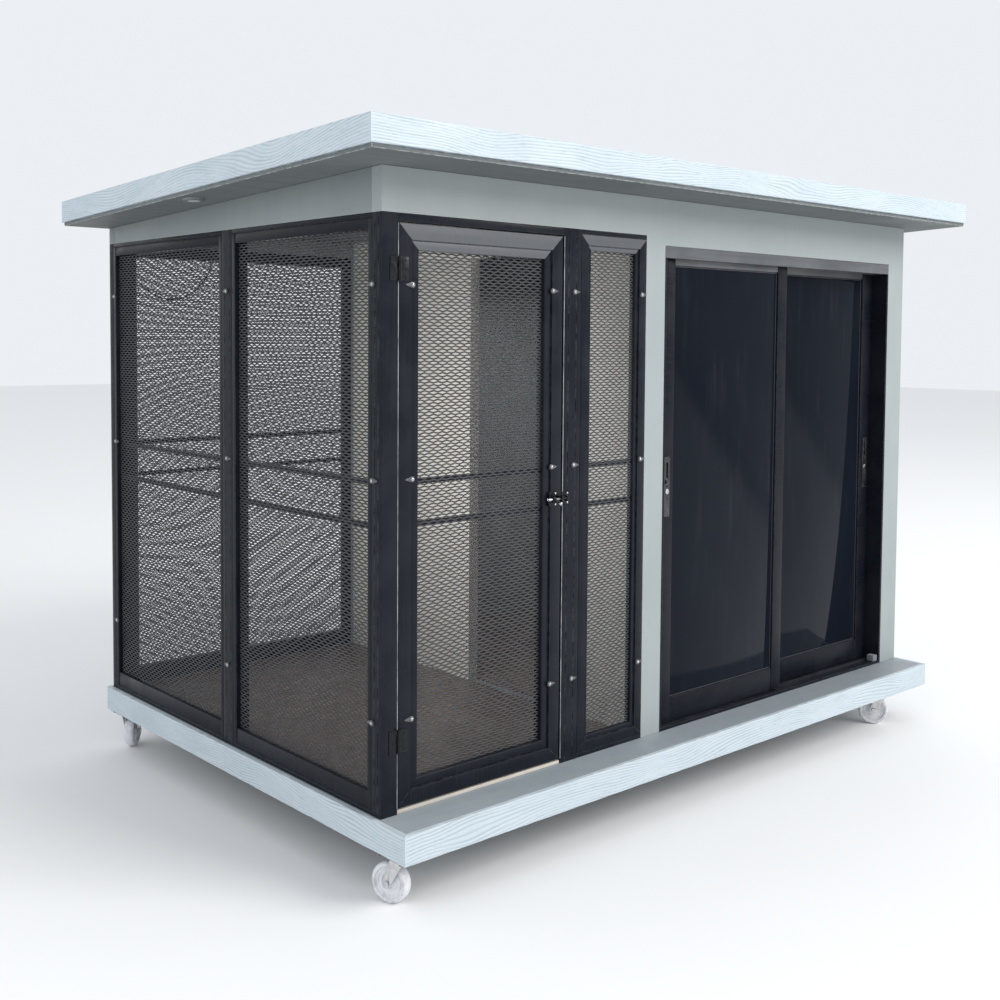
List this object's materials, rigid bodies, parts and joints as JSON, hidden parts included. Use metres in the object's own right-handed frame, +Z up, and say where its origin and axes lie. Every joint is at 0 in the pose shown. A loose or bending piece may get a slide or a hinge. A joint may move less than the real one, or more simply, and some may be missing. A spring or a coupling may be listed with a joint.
{
  "type": "wheeled pet house",
  "caption": "House on swivel casters with a framed mesh porch, a mesh swing door, a closed room behind a sliding glass door and a low sloping roof.",
  "frame": {"origin": "on the ground, under the middle of the roof", "axes": "+X along the long front side towards the sliding door end, +Y from front to back, +Z up; the doors face -Y"},
  "size_m": [2.579, 1.662, 1.8273],
  "materials": {
    "deck_steel": "dark grey paint, satin",
    "deck_paint": "grey deck paint, satin",
    "floor_wood": "brown wood-look floor sheet, satin",
    "trim_board": "pale blue-grey paint over an embossed wood grain, semi-gloss",
    "caster_steel": "zinc plate",
    "wheel_nylon": "milky white, moulded",
    "wall_paint": "light grey exterior paint on boards, eggshell",
    "partition_paint": "cream paint on boards, eggshell",
    "roof_sheet": "grey roof sheet on a foam and board core",
    "soffit_paint": "grey paint on board",
    "light_lens": "opal plastic",
    "black_profile": "gloss black powder coat",
    "black_mesh": "black expanded metal mesh",
    "clip_plastic": "black clips with bright screws",
    "black_hardware": "black paint, satin",
    "dark_glass": "dark tinted, reflective",
    "glide_nylon": "white nylon",
    "lock_metal": "dark grey lock plates with a bright key barrel",
    "stop_rubber": "grey rubber",
    "cable_rubber": "black sheath, matt"
  },
  "bodies": {
    "hut": {"base_rails": "deck_steel", "deck_board": "deck_paint", "floor_sheets": "floor_wood", "deck_trims_long": "trim_board", "deck_trims_short": "trim_board", "fascias_long": "trim_board", "fascias_short": "trim_board", "caster_plates": "caster_steel", "front_wall": "wall_paint", "right_wall": "wall_paint", "back_wall": "wall_paint", "porch_headers": "wall_paint", "partition_wall": "partition_paint", "door_sill": "partition_paint", "roof_panel": "roof_sheet", "soffit_board": "soffit_paint", "soffit_light": "light_lens", "porch_posts": "black_profile", "porch_tracks": "black_profile", "front_side_frame": "black_profile", "rear_side_frame": "black_profile", "narrow_frame": "black_profile", "back_frame": "black_profile", "panel_bars": "black_profile", "slider_frame": "black_profile", "front_side_mesh": "black_mesh", "rear_side_mesh": "black_mesh", "narrow_mesh": "black_mesh", "back_mesh": "black_mesh", "panel_clips": "clip_plastic", "post_hinge_leaves": "black_hardware", "hinge_pins": "black_hardware", "bolt_keeper": "black_hardware", "sash_stop": "stop_rubber", "porch_cable": "cable_rubber"},
    "door": {"door_frame": "black_profile", "door_mesh": "black_mesh", "door_bars": "black_profile", "door_clips": "clip_plastic", "door_hinge_leaves": "black_hardware", "bolt_guide": "black_hardware"},
    "bolt": {"bolt_rod": "black_hardware"},
    "left_sash": {"left_sash": "black_profile", "left_glass": "dark_glass", "left_glides": "glide_nylon", "left_lock": "lock_metal"},
    "left_thumb": {"left_thumb_slide": "lock_metal"},
    "right_sash": {"right_sash": "black_profile", "right_glass": "dark_glass", "right_glides": "glide_nylon", "right_lock": "lock_metal"},
    "right_thumb": {"right_thumb_slide": "lock_metal"},
    "front_left_fork": {"fork_front_left": "caster_steel"},
    "front_left_wheel": {"wheel_front_left": "wheel_nylon"},
    "front_right_fork": {"fork_front_right": "caster_steel"},
    "front_right_wheel": {"wheel_front_right": "wheel_nylon"},
    "back_left_fork": {"fork_back_left": "caster_steel"},
    "back_left_wheel": {"wheel_back_left": "wheel_nylon"},
    "back_right_fork": {"fork_back_right": "caster_steel"},
    "back_right_wheel": {"wheel_back_right": "wheel_nylon"}
  },
  "joints": [
    {"name": "door_hinge", "type": "hinge", "parent": "hut", "child": "door", "pos_m": [-1.08875, -0.6708, 0.376], "axis": [0, 0, -1], "range_deg": [0, 110]},
    {"name": "bolt_slide", "type": "slide", "parent": "door", "child": "bolt", "axis": [1, 0, 0], "range_m": [0, 0.016]},
    {"name": "left_sash_slide", "type": "slide", "parent": "hut", "child": "left_sash", "axis": [1, 0, 0], "range_m": [0, 0.52]},
    {"name": "right_sash_slide", "type": "slide", "parent": "hut", "child": "right_sash", "axis": [-1, 0, 0], "range_m": [0, 0.56]},
    {"name": "left_thumb_travel", "type": "slide", "parent": "left_sash", "child": "left_thumb", "axis": [0, 0, 1], "range_m": [0, 0.012]},
    {"name": "right_thumb_travel", "type": "slide", "parent": "right_sash", "child": "right_thumb", "axis": [0, 0, 1], "range_m": [0, 0.012]},
    {"name": "front_left_swivel", "type": "hinge", "parent": "hut", "child": "front_left_fork", "pos_m": [-1.1095, -0.711, 0.125], "axis": [0, 0, 1], "continuous": true},
    {"name": "front_left_spin", "type": "hinge", "parent": "front_left_fork", "child": "front_left_wheel", "pos_m": [-1.12001, -0.6829, 0.05], "axis": [-0.9367, -0.3502, 0], "continuous": true},
    {"name": "front_right_swivel", "type": "hinge", "parent": "hut", "child": "front_right_fork", "pos_m": [1.0015, -0.711, 0.125], "axis": [0, 0, 1], "continuous": true},
    {"name": "front_right_spin", "type": "hinge", "parent": "front_right_fork", "child": "front_right_wheel", "pos_m": [0.98303, -0.68736, 0.05], "axis": [-0.788, -0.6157, 0], "continuous": true},
    {"name": "back_left_swivel", "type": "hinge", "parent": "hut", "child": "back_left_fork", "pos_m": [-1.1095, 0.755, 0.125], "axis": [0, 0, 1], "continuous": true},
    {"name": "back_left_spin", "type": "hinge", "parent": "back_left_fork", "child": "back_left_wheel", "pos_m": [-1.08943, 0.77729, 0.05], "axis": [-0.7431, 0.6691, 0], "continuous": true},
    {"name": "back_right_swivel", "type": "hinge", "parent": "hut", "child": "back_right_fork", "pos_m": [1.0015, 0.755, 0.125], "axis": [0, 0, 1], "continuous": true},
    {"name": "back_right_spin", "type": "hinge", "parent": "back_right_fork", "child": "back_right_wheel", "pos_m": [1.02608, 0.77221, 0.05], "axis": [-0.5736, 0.8192, 0], "continuous": true}
  ]
}
